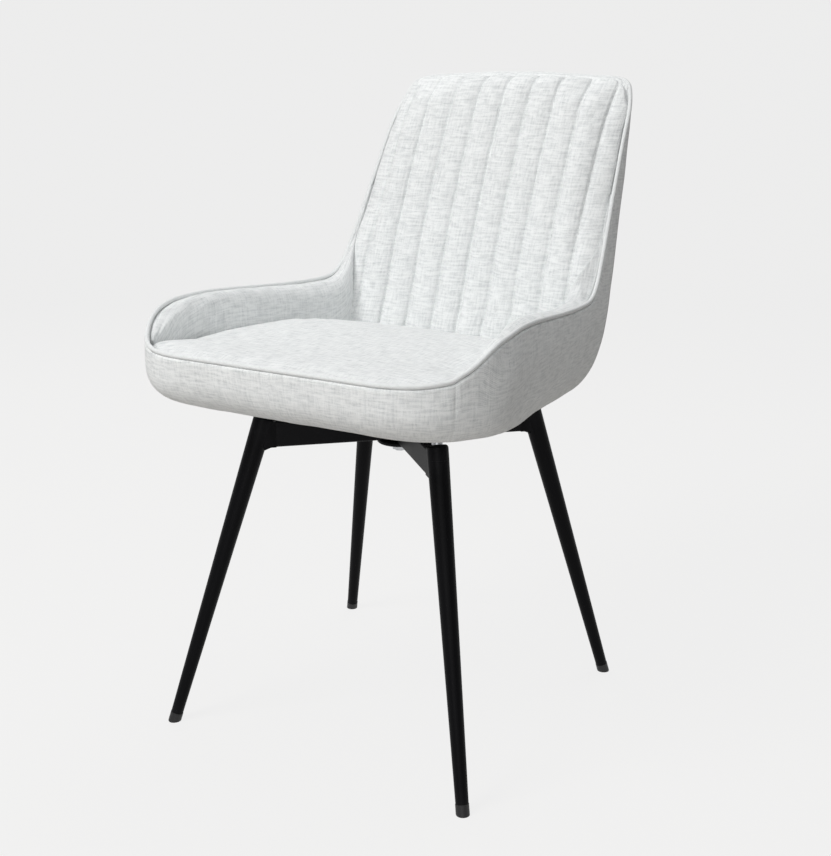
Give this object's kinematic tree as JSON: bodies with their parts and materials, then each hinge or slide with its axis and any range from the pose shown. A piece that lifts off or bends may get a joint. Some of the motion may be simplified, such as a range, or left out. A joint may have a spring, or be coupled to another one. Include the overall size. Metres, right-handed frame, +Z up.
{
  "type": "swivel dining chair",
  "caption": "Upholstered bucket dining chair on four splayed tapered steel legs, its seat turning freely on a ball-bearing swivel plate.",
  "frame": {"origin": "on the floor, under the middle of the chair's width and depth", "axes": "+Z up; the sitter faces -Y; +X is on the sitter's left hand, the right side of the front view"},
  "size_m": [0.4646, 0.6031, 0.8135],
  "materials": {
    "linen_fabric": "off-white linen-look weave with slubs, over foam",
    "welt_fabric": "piping covered in the same weave",
    "black_steel": "satin black powder coat",
    "black_plastic": "moulded black foot",
    "plate_steel": "black pressed steel",
    "zinc_steel": "zinc-plated fastener",
    "ball_steel": "polished bearing steel",
    "cage_plastic": "nylon cage",
    "plywood": "raw plywood, hidden",
    "dust_cloth": "black non-woven under-cover"
  },
  "bodies": {
    "base": {"leg_front_right": "black_steel", "leg_rear_right": "black_steel", "leg_rear_left": "black_steel", "leg_front_left": "black_steel", "glide_front_right": "black_plastic", "glide_rear_right": "black_plastic", "glide_rear_left": "black_plastic", "glide_front_left": "black_plastic", "leg_socket_front_right": "black_steel", "leg_socket_rear_right": "black_steel", "leg_socket_rear_left": "black_steel", "leg_socket_front_left": "black_steel", "leg_inserts": "zinc_steel", "leg_bolts": "zinc_steel", "cross_bar": "black_steel", "half_bar_front": "black_steel", "half_bar_rear": "black_steel", "hub_disc": "black_steel", "swivel_lower_plate": "plate_steel", "plate_screws": "zinc_steel", "bearing_balls": "ball_steel", "ball_cage": "cage_plastic", "pivot_bolt": "zinc_steel", "pivot_nut": "zinc_steel"},
    "seat": {"swivel_upper_plate": "plate_steel", "seat_bolts": "zinc_steel", "seat_spacers": "zinc_steel", "t_nuts": "zinc_steel", "seat_board": "plywood", "dust_cover": "dust_cloth", "outer_shell": "linen_fabric", "back_board": "plywood", "seat_cushion": "linen_fabric", "back_pad": "linen_fabric", "arm_pad_right": "linen_fabric", "arm_pad_left": "linen_fabric", "welt": "welt_fabric"}
  },
  "joints": [
    {"name": "swivel", "type": "hinge", "parent": "base", "child": "seat", "pos_m": [0, -0.024, 0.4], "axis": [0, 0, 1], "continuous": true}
  ]
}
